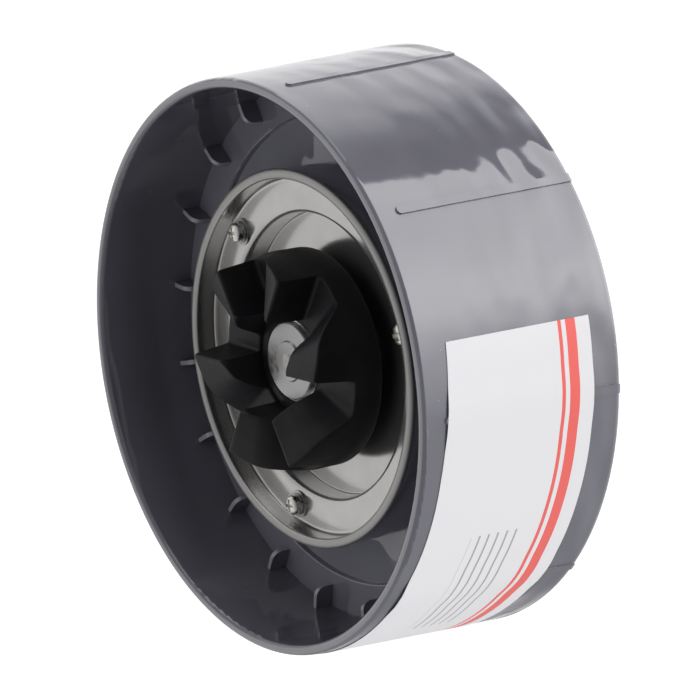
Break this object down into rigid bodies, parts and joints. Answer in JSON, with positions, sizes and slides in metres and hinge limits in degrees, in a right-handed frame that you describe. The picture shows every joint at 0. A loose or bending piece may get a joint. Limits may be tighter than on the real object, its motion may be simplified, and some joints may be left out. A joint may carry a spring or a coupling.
{
  "type": "blender blade assembly",
  "caption": "Screw-on collar with stepped blades on a bushed shaft, a pressed steel cover and a toothed rubber drive coupling.",
  "frame": {"origin": "centre of the jar-side rim that the part rests on, on the shaft's axis", "axes": "+Z along the shaft's axis, from the jar side up to the drive side; +X in the plane of one steep dog flank and through one gusset fin and one grip rib"},
  "size_m": [0.1317, 0.1314, 0.0489],
  "materials": {
    "collar_plastic": "glossy grey moulded plastic",
    "cover_steel": "pressed stainless sheet, brushed and polished",
    "screw_steel": "bright zinc",
    "washer_steel": "bright stamped steel",
    "shaft_steel": "ground stainless steel",
    "coupling_rubber": "black moulded rubber",
    "housing_metal": "turned",
    "bush_bronze": "sintered bronze",
    "felt": "oiled felt",
    "seal_rubber": "black nitrile",
    "gasket_rubber": "pale silicone",
    "blade_steel": "brushed stainless with ground edges",
    "sticker_paper": "white coated paper with plain printed bars"
  },
  "bodies": {
    "base": {"collar": "collar_plastic", "jar_gasket": "gasket_rubber", "steel_cover": "cover_steel", "cover_screws": "screw_steel", "spring_washers": "washer_steel", "flat_washers": "washer_steel", "bearing_housing": "housing_metal", "housing_ring_seal": "seal_rubber", "drive_bush": "bush_bronze", "felt_ring": "felt", "jar_bush": "bush_bronze", "shaft_seal": "seal_rubber", "seal_circlip": "washer_steel"},
    "rotor": {"shaft": "shaft_steel", "drive_coupling": "coupling_rubber", "coupling_insert": "shaft_steel", "back_washer": "washer_steel", "front_washer": "washer_steel", "thrust_washer": "washer_steel", "slinger_washer": "washer_steel", "lower_blade": "blade_steel", "blade_spacer": "blade_steel", "upper_blade": "blade_steel", "blade_washer": "washer_steel", "blade_nut": "shaft_steel"}
  },
  "joints": [
    {"name": "rotor_spin", "type": "hinge", "parent": "base", "child": "rotor", "pos_m": [0, 0, 0.0205], "axis": [0, 0, 1], "continuous": true}
  ]
}
